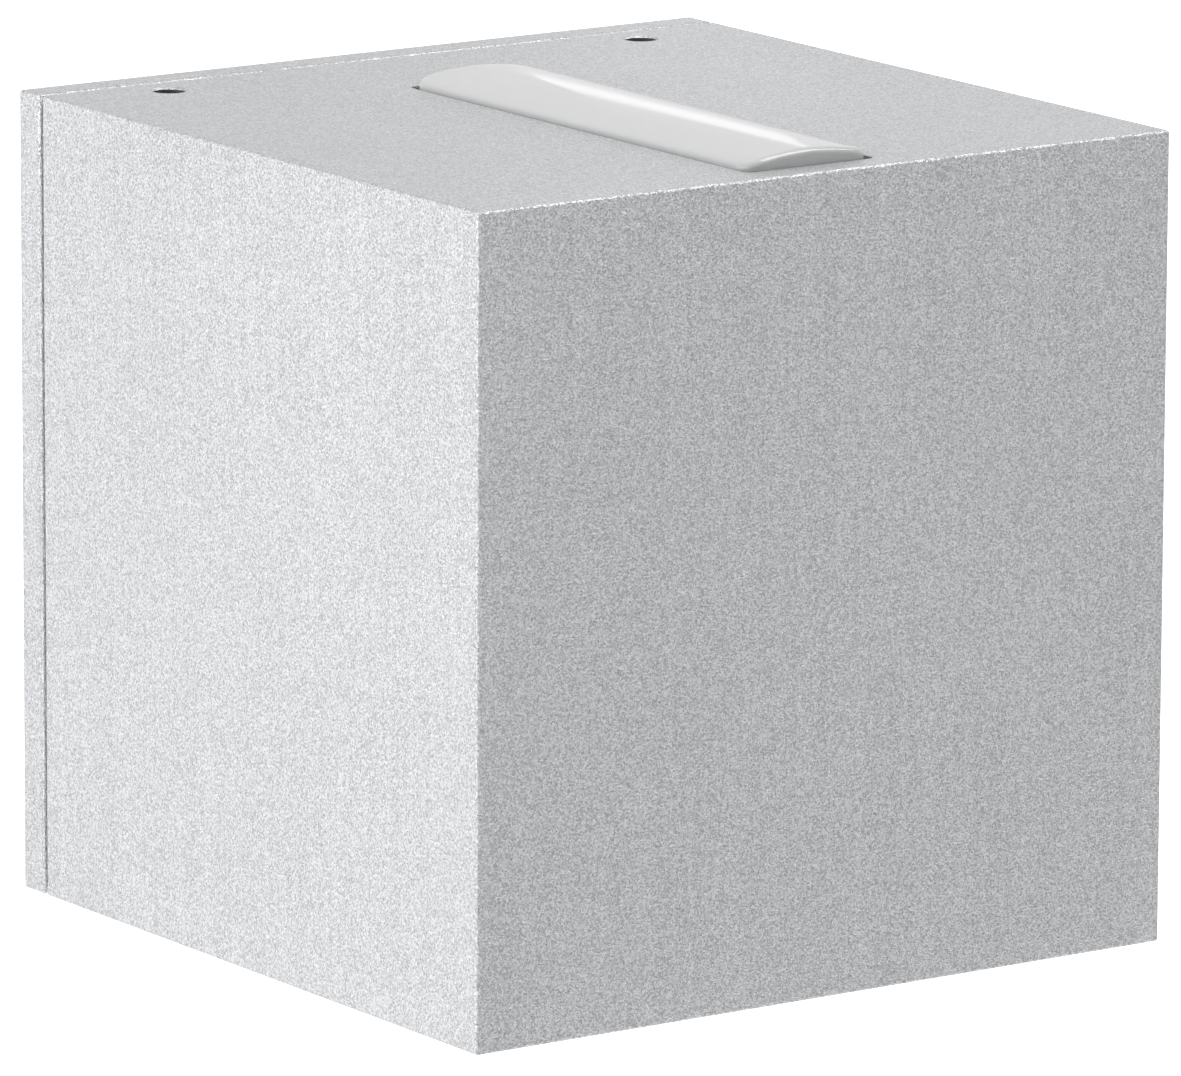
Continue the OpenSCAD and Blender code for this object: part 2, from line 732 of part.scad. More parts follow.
module mains_lead(start, finish) {
  lead([start, [start[0], run_y, start[2]], [finish[0], run_y - 2, finish[2]], finish],
    mains_lead_r, 7);
}

module live_lead() {
  color("saddlebrown") mains_lead(lead_start[0], [in_terminal[0] - 3, terminal_face, in_terminal[1]]);
}

module neutral_lead() {
  color("royalblue") mains_lead(lead_start[1], [in_terminal[0] + 3, terminal_face, in_terminal[1]]);
}

housing_earth_y = front_in + housing_earth_boss;

// Turned round: the ring lies on a face that looks towards the wall and the barrel points to the middle
module housing_earth_tag() {
  color("gold") translate([housing_earth[0], housing_earth_y, housing_earth[1]]) rotate(180)
    ring_tag(m4[0] / 2 + screw_gap);
}

module housing_earth_washer() {
  earth_washer([housing_earth[0], housing_earth_y + 2 * tag_t + washer_t, housing_earth[1]]);
}

module housing_earth_screw() {
  color("gold") screw_to_front([housing_earth[0], housing_earth_y + tag_t + washer_t, housing_earth[1]],
    m4, earth_screw_l);
}

module earth_lead() {
  start = lead_start[2];
  finish = [housing_earth[0] - tag_r - 0.5 - tag_barrel_l, housing_earth_y + tag_barrel_r,
    housing_earth[1]];
  color("yellowgreen") lead([start, [start[0], run_y, start[2]],
    [finish[0] - 4, finish[1] + 8, finish[2]], [finish[0] - 4, finish[1], finish[2]], finish],
    mains_lead_r, 6);
}

// Two leads run from the driver's upper terminals round the carrier's back end to the board's plug
plug_lead_y = lens_back + board_tail - 0.5;
turn_y = carrier_back + 2.6;
plug_lead_z = board_top + lead_plug[2] / 2;

module led_leads_top() {
  color("firebrick") for (i = [0, 1]) {
    x = out_terminal[0] - 4.5 + i * 3;
    end_x = (i - 0.5) * 2.5;
    run_z = lens_under - carrier_h - 4;
    lead([[x, terminal_face, out_terminal[1]], [x, terminal_face + 6, out_terminal[1]],
      [x, terminal_face + 12, run_z], [end_x, turn_y - 8, run_z], [end_x, turn_y, run_z],
      [end_x, turn_y, plug_lead_z], [end_x, plug_lead_y, plug_lead_z]], led_lead_r, 6);
  }
}

// The lower pair passes beside the mains connector and turns in under it, one lead behind the other
module led_leads_bottom() {
  side_x = socket_w / 2 + socket_ear_w + 2;
  run_z = -(lens_under - carrier_h - 4);
  color("black") for (i = [0, 1]) {
    x = out_terminal[0] + 1.5 + i * 3;
    out_x = side_x + i * 2.5;
    end_x = (0.5 - i) * 2.5;
    back_y = turn_y + i * 1.8;
    lead([[x, terminal_face, out_terminal[1]], [x, terminal_face + 6 + i * 2.5, out_terminal[1]],
      [out_x, terminal_face + 14, run_z], [out_x, back_y, run_z], [out_x, back_y, -plug_lead_z],
      [end_x, back_y, -plug_lead_z], [end_x, plug_lead_y, -plug_lead_z]], led_lead_r, 6);
  }
}

// ---------- what is drawn ----------

wall_plate();
plate_seal();
cable_grommet();
terminal_socket();
contact_pins();
terminal_screws();
socket_screws();
plate_earth_tag();
plate_earth_screw();
plate_earth_washer();
plate_earth_lead();
housing();
grub_screw(-1);  // grub_screw_left
grub_screw(1);  // grub_screw_right
on_face(1) lens(lens_rise);  // lens_top
on_face(-1) lens(lower_lens_rise);  // lens_bottom
on_face(1) lens_seal();  // lens_seal_top
on_face(-1) lens_seal();  // lens_seal_bottom
on_face(1) carrier();  // carrier_top
on_face(-1) carrier();  // carrier_bottom
on_face(1) carrier_screws();  // carrier_screws_top
on_face(-1) carrier_screws();  // carrier_screws_bottom
on_face(1) thermal_pad();  // thermal_pad_top
on_face(-1) thermal_pad();  // thermal_pad_bottom
on_face(1) led_board();  // led_board_top
on_face(-1) led_board();  // led_board_bottom
on_face(1) leds();  // leds_top
on_face(-1) leds();  // leds_bottom
on_face(1) board_screws();  // board_screws_top
on_face(-1) board_screws();  // board_screws_bottom
on_face(1) reflector();  // reflector_top
on_face(-1) reflector();  // reflector_bottom
on_face(1) board_plug();  // board_plug_top
on_face(-1) board_plug();  // board_plug_bottom
driver_case();
driver_cover();
driver_board();
driver_transformer();
driver_capacitors();
driver_terminals();
driver_screws();
terminal_plug();
live_lead();
neutral_lead();
earth_lead();
housing_earth_tag();
housing_earth_screw();
housing_earth_washer();
led_leads_top();
led_leads_bottom();
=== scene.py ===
import json
import math

import bmesh
import bpy
from mathutils import Matrix, Vector

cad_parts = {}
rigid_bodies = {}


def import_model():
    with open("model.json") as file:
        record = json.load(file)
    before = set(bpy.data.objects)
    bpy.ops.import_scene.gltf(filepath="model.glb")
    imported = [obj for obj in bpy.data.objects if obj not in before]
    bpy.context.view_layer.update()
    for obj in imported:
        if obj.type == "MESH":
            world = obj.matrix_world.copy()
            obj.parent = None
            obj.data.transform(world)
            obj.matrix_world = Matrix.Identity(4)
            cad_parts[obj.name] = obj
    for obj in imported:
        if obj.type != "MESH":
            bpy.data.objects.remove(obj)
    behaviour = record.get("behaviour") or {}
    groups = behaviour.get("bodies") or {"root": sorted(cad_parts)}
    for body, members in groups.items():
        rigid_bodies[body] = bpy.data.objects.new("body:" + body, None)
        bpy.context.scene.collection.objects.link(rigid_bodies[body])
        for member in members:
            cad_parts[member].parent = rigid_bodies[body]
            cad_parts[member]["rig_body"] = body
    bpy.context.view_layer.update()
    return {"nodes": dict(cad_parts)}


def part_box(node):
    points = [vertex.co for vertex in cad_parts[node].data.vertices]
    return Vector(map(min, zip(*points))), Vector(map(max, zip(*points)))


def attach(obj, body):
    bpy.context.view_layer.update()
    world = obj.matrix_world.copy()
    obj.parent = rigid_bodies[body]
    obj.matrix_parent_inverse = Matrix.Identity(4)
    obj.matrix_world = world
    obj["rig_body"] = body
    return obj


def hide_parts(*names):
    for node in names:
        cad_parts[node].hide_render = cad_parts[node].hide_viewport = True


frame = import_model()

MM = 0.001
MERGE = 0.001
FLAT = math.radians(0.5)
CREASE = math.radians(38)
Y = Vector((0, 1, 0))
Z = Vector((0, 0, 1))


def box_mm(node):
    """Lowest and highest corner of a CAD node, in millimetres"""
    low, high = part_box(node)
    return low / MM, high / MM


# ---------- surface effects, each built once ----------


def add(tree, kind, links=None, values=None, **settings):
    """Adds a shader node: links maps its inputs to outputs, values maps them to numbers"""
    made = tree.nodes.new("ShaderNode" + kind)
    for name, value in settings.items():
        setattr(made, name, value)
    for socket, value in (values or {}).items():
        made.inputs[socket].default_value = value
    for socket, source in (links or {}).items():
        tree.links.new(source, made.inputs[socket])
    return made


def effect(name, numbers, outputs):
    """Starts a node group with a vector input, number inputs and number outputs"""
    tree = bpy.data.node_groups.new(name, "ShaderNodeTree")
    tree.interface.new_socket("Vector", in_out="INPUT", socket_type="NodeSocketVector")
    for socket, value in numbers.items():
        made = tree.interface.new_socket(socket, in_out="INPUT", socket_type="NodeSocketFloat")
        made.default_value = value
    for socket in outputs:
        tree.interface.new_socket(socket, in_out="OUTPUT", socket_type="NodeSocketFloat")
    return tree, tree.nodes.new("NodeGroupInput").outputs, tree.nodes.new("NodeGroupOutput")


def maths(tree, operation, first, second, clamp=False):
    """A Math node whose operands are outputs or numbers"""
    made = tree.nodes.new("ShaderNodeMath")
    made.operation = operation
    made.use_clamp = clamp
    for socket, value in zip(made.inputs, (first, second)):
        if isinstance(value, (int, float)):
            socket.default_value = value
        else:
            tree.links.new(value, socket)
    return made.outputs[0]


def centred(tree, value, amount):
    """amount times the distance of value from one half"""
    return maths(tree, "MULTIPLY", maths(tree, "SUBTRACT", value, 0.5), amount)


def speckle_effect():
    """Metal flakes in paint: random cells, softened by noise, with faint upright streaks"""
    tree, given, result = effect(
        "speckle",
        {"Cells": 5000.0, "Contrast": 1.0, "Streaks": 0.22, "Clouds": 0.1},
        ("Mask", "Height"),
    )
    cells = add(tree, "TexVoronoi", {"Vector": given["Vector"], "Scale": given["Cells"]})
    cell = add(tree, "SeparateColor", {"Color": cells.outputs["Color"]}).outputs[0]
    fine = add(
        tree, "TexNoise", {"Vector": given["Vector"]}, {"Scale": 3000.0, "Detail": 2.0}
    ).outputs["Fac"]
    tall = add(tree, "Mapping", {"Vector": given["Vector"]}, {"Scale": (1.0, 1.0, 0.012)})
    streak = add(
        tree, "TexNoise", {"Vector": tall.outputs[0]}, {"Scale": 900.0, "Detail": 2.0}
    ).outputs["Fac"]
    cloud = add(
        tree, "TexNoise", {"Vector": given["Vector"]}, {"Scale": 45.0, "Detail": 3.0}
    ).outputs["Fac"]
    grain = maths(tree, "ADD", centred(tree, cell, 0.8), centred(tree, fine, 0.7))
    speck = maths(tree, "MULTIPLY", grain, given["Contrast"])
    wide = maths(
        tree, "ADD", centred(tree, streak, given["Streaks"]), centred(tree, cloud, given["Clouds"])
    )
    total = maths(tree, "ADD", speck, wide)
    tree.links.new(maths(tree, "ADD", total, 0.5, clamp=True), result.inputs["Mask"])
    bumps = add(
        tree, "TexNoise", {"Vector": given["Vector"], "Scale": given["Cells"]}, {"Detail": 1.0}
    ).outputs["Fac"]
    tree.links.new(bumps, result.inputs["Height"])
    return tree


def mottle_effect():
    """Moulded or sprayed surface: broad unevenness with a fine texture on top"""
    tree, given, result = effect("mottle", {"Cells": 900.0, "Amount": 0.6}, ("Mask", "Height"))
    broad = add(
        tree, "TexNoise", {"Vector": given["Vector"]}, {"Scale": 70.0, "Detail": 3.0}
    ).outputs["Fac"]
    fine = add(
        tree, "TexNoise",
        {"Vector": given["Vector"], "Scale": given["Cells"]},
        {"Detail": 3.0, "Roughness": 0.55},
    ).outputs["Fac"]
    both = maths(tree, "ADD", centred(tree, broad, given["Amount"]), centred(tree, fine, 0.6))
    tree.links.new(maths(tree, "ADD", both, 0.5, clamp=True), result.inputs["Mask"])
    tree.links.new(fine, result.inputs["Height"])
    return tree


def drawn_effect():
    """Drawn or turned metal: long fine lines along the vector's Y, over a broad unevenness"""
    tree, given, result = effect("drawn", {"Cells": 2500.0, "Amount": 0.8}, ("Mask", "Height"))
    long = add(tree, "Mapping", {"Vector": given["Vector"]}, {"Scale": (1.0, 0.03, 1.0)})
    line = add(
        tree, "TexNoise",
        {"Vector": long.outputs[0], "Scale": given["Cells"]},
        {"Detail": 2.0},
    ).outputs["Fac"]
    broad = add(
        tree, "TexNoise", {"Vector": given["Vector"]}, {"Scale": 60.0, "Detail": 2.0}
    ).outputs["Fac"]
    both = maths(tree, "ADD", centred(tree, line, given["Amount"]), centred(tree, broad, 0.5))
    tree.links.new(maths(tree, "ADD", both, 0.5, clamp=True), result.inputs["Mask"])
    tree.links.new(line, result.inputs["Height"])
    return tree


def track_effect():
    """Copper tracks under the varnish of a circuit board: edges of square cells"""
    tree, given, result = effect("tracks", {"Cells": 420.0, "Width": 0.1}, ("Mask", "Height"))
    cells = add(
        tree, "TexVoronoi",
        {"Vector": given["Vector"], "Scale": given["Cells"]},
        feature="F1", distance="CHEBYCHEV",
    ).outputs["Distance"]
    ring = maths(tree, "ABSOLUTE", maths(tree, "SUBTRACT", cells, 0.42), 0.0)
    track = maths(tree, "LESS_THAN", ring, given["Width"])
    tree.links.new(track, result.inputs["Mask"])
    tree.links.new(track, result.inputs["Height"])
    return tree


SPECKLE = speckle_effect()
MOTTLE = mottle_effect()
DRAWN = drawn_effect()
TRACKS = track_effect()


def surface(name, group, dark, light, rough, depth, amounts=None, shader=None, metal=None):
    """A finish between two colours, two roughnesses and, if given, two shares of bare metal,
    with depth metres of relief"""
    made = bpy.data.materials.new(name)
    made.use_nodes = True
    tree = made.node_tree
    principled = tree.nodes["Principled BSDF"]
    for socket, value in (shader or {}).items():
        principled.inputs[socket].default_value = value
    place = add(tree, "TexCoord").outputs["Object"]
    pattern = tree.nodes.new("ShaderNodeGroup")
    pattern.node_tree = group
    for socket, value in (amounts or {}).items():
        pattern.inputs[socket].default_value = value
    tree.links.new(place, pattern.inputs["Vector"])
    colour = add(
        tree, "Mix",
        {"Factor": pattern.outputs["Mask"]},
        data_type="RGBA",
    )
    colour.inputs[6].default_value = (*dark, 1)
    colour.inputs[7].default_value = (*light, 1)
    tree.links.new(colour.outputs[2], principled.inputs["Base Color"])
    gloss = add(
        tree, "MapRange",
        {"Value": pattern.outputs["Mask"]},
        {"To Min": rough[0], "To Max": rough[1]},
    )
    tree.links.new(gloss.outputs[0], principled.inputs["Roughness"])
    if metal:
        share = add(
            tree, "MapRange",
            {"Value": pattern.outputs["Mask"]},
            {"To Min": metal[0], "To Max": metal[1]},
        )
        tree.links.new(share.outputs[0], principled.inputs["Metallic"])
    relief = add(
        tree, "Bump", {"Height": pattern.outputs["Height"]}, {"Strength": 1.0, "Distance": depth}
    )
    tree.links.new(relief.outputs[0], principled.inputs["Normal"])
    return made


def striped(name, first, second, rough):
    """Two colours along a lead, told apart by the mesh's own stripe attribute"""
    made = surface(name, MOTTLE, first, first, rough, 0.00001)
    tree = made.node_tree
    stripe = add(tree, "Attribute", attribute_name="stripe").outputs["Fac"]
    edge = maths(tree, "GREATER_THAN", stripe, 0.5)
    colour = next(n for n in tree.nodes if n.bl_idname == "ShaderNodeMix")
    colour.inputs[7].default_value = (*second, 1)
    tree.links.new(edge, colour.inputs[0])
    return made


# ---------- finishes ----------

SILVER = surface(
    "silver speckled paint", SPECKLE, (0.262, 0.266, 0.273), (0.655, 0.662, 0.679), (0.4, 0.4),
    0.00016, {"Cells": 5000.0}, metal=(0.35, 0.95),
)
# Painted shade: the threaded walls of the grub screws' holes are bare metal, darkened to near black
# to paint the shade inside the holes
BORE_SHADE = surface(
    "tapped bore with painted shade", DRAWN, (0.05, 0.05, 0.052), (0.11, 0.11, 0.115), (0.6, 0.45), 0.00001,
    shader={"Metallic": 0.6},
)
RUBBER = surface(
    "black rubber", MOTTLE, (0.012, 0.012, 0.013), (0.04, 0.04, 0.042), (0.75, 0.55), 0.00003,
    shader={"Specular IOR Level": 0.35},
)
GREY_RUBBER = surface(
    "grey rubber", MOTTLE, (0.05, 0.052, 0.055), (0.1, 0.102, 0.106), (0.7, 0.5), 0.00003
)
WHITE_PLASTIC = surface(
    "white terminal plastic", MOTTLE, (0.62, 0.62, 0.6), (0.78, 0.78, 0.765), (0.42, 0.3), 0.00001,
    {"Cells": 2200.0},
)
DRIVER_PLASTIC = surface(
    "driver case plastic", MOTTLE, (0.66, 0.665, 0.67), (0.8, 0.805, 0.81), (0.5, 0.36), 0.000014,
    {"Cells": 3200.0},
)
BRASS = surface(
    "brass", DRAWN, (0.5, 0.34, 0.12), (0.83, 0.62, 0.27), (0.36, 0.22), 0.000004,
    shader={"Metallic": 1.0},
)
ZINC = surface(
    "zinc plated steel", DRAWN, (0.46, 0.47, 0.49), (0.72, 0.73, 0.74), (0.36, 0.2), 0.000004,
    shader={"Metallic": 1.0},
)
STAINLESS = surface(
    "stainless steel", DRAWN, (0.3, 0.3, 0.31), (0.6, 0.6, 0.61), (0.42, 0.26), 0.000004,
    shader={"Metallic": 1.0},
)
ALUMINIUM = surface(
    "bare extruded aluminium", DRAWN, (0.55, 0.56, 0.57), (0.78, 0.785, 0.79), (0.46, 0.3),
    0.000006, {"Cells": 3800.0}, {"Metallic": 1.0},
)
LENS = surface(
    "satin lens acrylic", MOTTLE, (0.37, 0.372, 0.372), (0.4, 0.402, 0.402), (0.12, 0.1), 0.000002,
    {"Cells": 500.0, "Amount": 0.4},
    {
        "IOR": 1.49,
        "Subsurface Weight": 0.25,
        "Subsurface Radius": (1.0, 1.0, 1.0),
        "Subsurface Scale": 0.002,
    },
)
THERMAL = surface(
    "thermal pad", MOTTLE, (0.2, 0.32, 0.42), (0.3, 0.43, 0.54), (0.8, 0.62), 0.00002
)
BOARD_WHITE = surface(
    "white board varnish", TRACKS, (0.74, 0.75, 0.74), (0.8, 0.81, 0.8), (0.36, 0.24), 0.00002,
    {"Cells": 260.0, "Width": 0.06},
)
BOARD_GREEN = surface(
    "green board varnish", TRACKS, (0.008, 0.075, 0.03), (0.03, 0.17, 0.07), (0.34, 0.22), 0.00002
)
PHOSPHOR = surface(
    "diode phosphor", MOTTLE, (0.66, 0.5, 0.06), (0.85, 0.7, 0.16), (0.5, 0.35), 0.00001,
    {"Cells": 4000.0},
)
WHITE_GLOSS = surface(
    "reflector white", MOTTLE, (0.8, 0.8, 0.79), (0.88, 0.88, 0.87), (0.3, 0.2), 0.000005
)
TAPE = surface(
    "winding tape", DRAWN, (0.62, 0.42, 0.04), (0.86, 0.64, 0.1), (0.4, 0.25), 0.00001,
    {"Cells": 1400.0},
)
FERRITE = surface("ferrite", MOTTLE, (0.02, 0.02, 0.022), (0.06, 0.06, 0.065), (0.6, 0.4), 0.00002)
SLEEVE = surface(
    "capacitor sleeve", MOTTLE, (0.01, 0.014, 0.04), (0.025, 0.03, 0.075), (0.32, 0.22), 0.000006
)


def lead_finish(name, dark, light):
    return surface(name, MOTTLE, dark, light, (0.42, 0.3), 0.000006, {"Cells": 1500.0})


BROWN = lead_finish("brown lead", (0.1, 0.035, 0.012), (0.16, 0.06, 0.022))
BLUE = lead_finish("blue lead", (0.008, 0.05, 0.3), (0.02, 0.09, 0.42))
RED = lead_finish("red lead", (0.38, 0.01, 0.01), (0.52, 0.025, 0.02))
BLACK = lead_finish("black lead", (0.012, 0.012, 0.012), (0.03, 0.03, 0.03))
EARTH = striped("green and yellow lead", (0.02, 0.22, 0.035), (0.75, 0.56, 0.02), (0.42, 0.3))


# ---------- making pieces ----------


def make(name, bm, node, slot, *finishes):
    """Closes a mesh worked in millimetres as the piece that stands for a CAD node"""
    bmesh.ops.scale(bm, vec=(MM, MM, MM), verts=bm.verts)
    mesh = bpy.data.meshes.new(name)
    bm.to_mesh(mesh)
    bm.free()
    mesh.shade_smooth()
    mesh.set_sharp_from_angle(angle=CREASE)
    for finish in finishes:
        mesh.materials.append(finish)
    piece = bpy.data.objects.new(name, mesh)
    bpy.context.scene.collection.objects.link(piece)
    even = piece.modifiers.new("even shading", "WEIGHTED_NORMAL")
    even.keep_sharp = True
    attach(piece, frame["nodes"][node]["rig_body"])
    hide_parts(node)
    return piece


def paint(verts, index):
    """Gives the faces of these points the piece's finish with that number"""
    for vert in verts:
        for face in vert.link_faces:
            face.material_index = index


def round_edges(bm, edges, width, segments=2):
    bmesh.ops.bevel(
        bm, geom=edges, offset=width, offset_type="OFFSET", affect="EDGES",
        segments=segments, profile=0.5, material=-1, clamp_overlap=True,
    )


def merged_copy(node):
    """A CAD node's mesh in millimetres, merged, with its flat areas joined up"""
    bm = bmesh.new()
    bm.from_mesh(frame["nodes"][node].data)
    bmesh.ops.scale(bm, vec=(1 / MM,) * 3, verts=bm.verts)
    bmesh.ops.remove_doubles(bm, verts=bm.verts, dist=MERGE)
    bmesh.ops.dissolve_limit(
        bm, angle_limit=FLAT, use_dissolve_boundaries=False,
        verts=bm.verts, edges=bm.edges, delimit={"NORMAL"},
    )
    return bm


def sharp_edges(bm, angle=40, keep=None):
    """Edges where two faces meet at more than angle, if keep agrees about their middle"""
    found = []
    for edge in bm.edges:
        if len(edge.link_faces) != 2 or edge.calc_face_angle(0) < math.radians(angle):
            continue
        middle = (edge.verts[0].co + edge.verts[1].co) / 2
        if keep is None or keep(middle):
            found.append(edge)
    return found


def block(bm, low, high, width=0.0, segments=2):
    """A block between two corners, with all its edges rounded; returns its points"""
    low, high = Vector(low), Vector(high)
    place = Matrix.Translation((low + high) / 2) @ Matrix.Diagonal((*(high - low), 1))
    made = bmesh.ops.create_cube(bm, size=1.0, matrix=place)["verts"]
    if not width:
        return made
    edges = list({edge for vert in made for edge in vert.link_edges})
    rounded = bmesh.ops.bevel(
        bm, geom=edges, offset=width, offset_type="OFFSET", affect="EDGES",
        segments=segments, profile=0.5, material=-1,
    )
    return list({vert for face in rounded["faces"] for vert in face.verts})


def turned(bm, base, axis, profile, sides=32):
    """Spins (radius, height) points round an axis that starts at base; returns its points"""
    turn = axis.to_track_quat("Z", "Y").to_matrix().to_4x4()
    place = Matrix.Translation(base) @ turn
    made = [bm.verts.new(place @ Vector((radius, 0, height))) for radius, height in profile]
    line = [bm.edges.new(pair) for pair in zip(made, made[1:])]
    before = set(bm.verts) - set(made)
    bmesh.ops.spin(
        bm, geom=made + line, cent=base, axis=axis, angle=2 * math.pi, steps=sides, use_merge=True
    )
    whole = [vert for vert in bm.verts if vert not in before]
    bmesh.ops.remove_doubles(bm, verts=whole, dist=MERGE / 2)
    whole = [vert for vert in bm.verts if vert not in before]
    faces = list({face for vert in whole for face in vert.link_faces})
    bmesh.ops.recalc_face_normals(bm, faces=faces)
    return whole


# ---------- wall plate, housing and seal ----------

PLATE_FRONT = box_mm("plate_seal")[1].y
HOUSING_LOW, HOUSING_HIGH = box_mm("housing")
HALF = HOUSING_HIGH.x
CAD_ROUNDING = 0.85
LONG_EDGE = 0.4
RIM_EDGE = 0.2
PLATE_FRONT_EDGE = 0.85
PLATE_BACK_EDGE = 0.45
OPENING_EDGE = 0.18
SEAL_EDGE = 0.12
GRUBS = ("grub_screw_left", "grub_screw_right")
BORE_R = 2.3


def on_outline(point, gap=1.3):
    """True near the outer walls of the cube, where its long edges and rims are"""
    return max(abs(point.x), abs(point.z)) > HALF - gap


def square_corners(bm):
    """Draws the rounding of the four long edges out to a sharp edge, to be rounded afresh"""
    for vert in bm.verts:
        if min(abs(vert.co.x), abs(vert.co.z)) > HALF - CAD_ROUNDING:
            vert.co.x = math.copysign(HALF, vert.co.x)
            vert.co.z = math.copysign(HALF, vert.co.z)
    bmesh.ops.remove_doubles(bm, verts=bm.verts, dist=MERGE)


def plate():
    bm = merged_copy("wall_plate")
    square_corners(bm)
    front = sharp_edges(bm, keep=lambda p: on_outline(p) and abs(p.y - PLATE_FRONT) < 0.1)
    round_edges(bm, front, PLATE_FRONT_EDGE, 4)
    rim = sharp_edges(bm, 60, keep=lambda p: on_outline(p) and p.y > PLATE_FRONT + 0.9)
    round_edges(bm, rim, PLATE_BACK_EDGE, 3)
    rest = sharp_edges(bm, 50, keep=lambda p: not on_outline(p) and p.y < PLATE_FRONT - 0.1)
    round_edges(bm, rest, RIM_EDGE, 2)
    return make("wall_plate_casting", bm, "wall_plate", "silver_coat", SILVER)


def near_opening(point):
    """True at the edges of the lens openings and the grub screws' holes"""
    return abs(point.x) < HALF - 5 and point.y > HOUSING_LOW.y + 1


def housing():
    bm = merged_copy("housing")
    square_corners(bm)
    front = HOUSING_LOW.y
    outer = sharp_edges(
        bm, keep=lambda p: on_outline(p, 0.1) and p.y < HOUSING_HIGH.y - 0.1 and not near_opening(p)
    )
    round_edges(bm, outer, LONG_EDGE, 3)
    back = sharp_edges(bm, 60, keep=lambda p: on_outline(p) and p.y > HOUSING_HIGH.y - 0.1)
    round_edges(bm, back, RIM_EDGE, 2)
    openings = sharp_edges(
        bm, 60,
        keep=lambda p: abs(p.z) > HALF - 0.1 and abs(p.x) < 12 and p.y > front + 2,
    )
    round_edges(bm, openings, OPENING_EDGE, 2)
    bores = [(box_mm(name)[0] + box_mm(name)[1]) / 2 for name in GRUBS]
    # Faces on the walls of the grub screws' holes get the near-black bore finish: bare threaded
    # metal darkened as painted shade
    for face in bm.faces:
        middle = face.calc_center_median()
        reach = min(math.hypot(middle.x - bore.x, middle.y - bore.y) for bore in bores)
        if reach < BORE_R and middle.z < HALF - 0.3:
            face.material_index = 1
    return make("housing_shell", bm, "housing", "silver_coat", SILVER, BORE_SHADE)


plate()
housing()

seal_mesh = merged_copy("plate_seal")
round_edges(seal_mesh, sharp_edges(seal_mesh), SEAL_EDGE, 2)
make("seam_seal", seal_mesh, "plate_seal", "seal_rubber", GREY_RUBBER)


# ---------- lenses ----------

LENS_W = 18.0
LENS_L = 71.0
LENS_EDGE = 0.25
LENS_CORNER = 2.5
LENS_ROUND = 0.75
LENS_FLANGE = 1.5
ARCH_SPREAD = 1 / 1.4
ARCH_POWER = 0.41


def lens_half_width(y):
    """Half the lens's width at a distance y from its middle, with its corners rounded"""
    past = max(0.0, abs(y) - (LENS_L / 2 - LENS_CORNER))
    return LENS_W / 2 - LENS_CORNER + math.sqrt(max(0.0, LENS_CORNER**2 - past**2))


def lens_height(x, y, rise):
    """Height of the lens above the housing's face: a flattened arch, rounded over at its ends"""
    across = min(1.0, abs(x) / (LENS_W / 2)) ** ARCH_SPREAD
    arch = LENS_EDGE + (rise - LENS_EDGE) * (1 - across**2) ** ARCH_POWER
    past_x = abs(x) - (LENS_W / 2 - LENS_CORNER)
    past_y = abs(y) - (LENS_L / 2 - LENS_CORNER)
    if past_y < 0:
        return arch
    inside = LENS_CORNER - (math.hypot(past_x, past_y) if past_x > 0 else past_y)
    inside = min(max(inside, 0.0), LENS_ROUND)
    drop = LENS_ROUND - math.sqrt(LENS_ROUND**2 - (LENS_ROUND - inside) ** 2)
    return max(arch - drop, LENS_EDGE)


def lens(name, node, side):
    """A domed lens over a flat flange, on the upper (1) or lower (-1) face"""
    low, high = box_mm(node)
    centre_y = (low.y + high.y) / 2
    foot = min(abs(low.z), abs(high.z))
    rise = max(abs(low.z), abs(high.z)) - HALF
    bm = bmesh.new()
    bmesh.ops.create_grid(bm, x_segments=36, y_segments=72, size=1.0)
    for vert in bm.verts:
        y = math.sin(vert.co.y * math.pi / 2) * LENS_L / 2
        x = math.sin(vert.co.x * math.pi / 2) * lens_half_width(y)
        vert.co = Vector((x, centre_y + y, HALF + lens_height(x, y, rise)))
    rim = [edge for edge in bm.edges if edge.is_boundary]
    wall = bmesh.ops.extrude_edge_only(bm, edges=rim)["geom"]
    lower = [part for part in wall if isinstance(part, bmesh.types.BMVert)]
    for vert in lower:
        vert.co.z = foot
    bmesh.ops.holes_fill(bm, edges=[edge for edge in bm.edges if edge.is_boundary], sides=0)
    bmesh.ops.recalc_face_normals(bm, faces=bm.faces)
    block(bm, (low.x, low.y, foot), (high.x, high.y, foot + LENS_FLANGE), 0.2)
    if side < 0:
        bmesh.ops.scale(bm, vec=(1, 1, -1), verts=bm.verts)
        bmesh.ops.reverse_faces(bm, faces=bm.faces)
    return make(name, bm, node, "lens_satin", LENS)


lens("upper_lens", "lens_top", 1)
lens("lower_lens", "lens_bottom", -1)


# ---------- grub screws ----------

GRUB_R = 2.0
THREAD_PITCH = 0.7
HEX_FLATS = 2.0
HEX_DEPTH = 2.0
THREAD_DEPTH = 0.3
POINT_LENGTH = 0.85


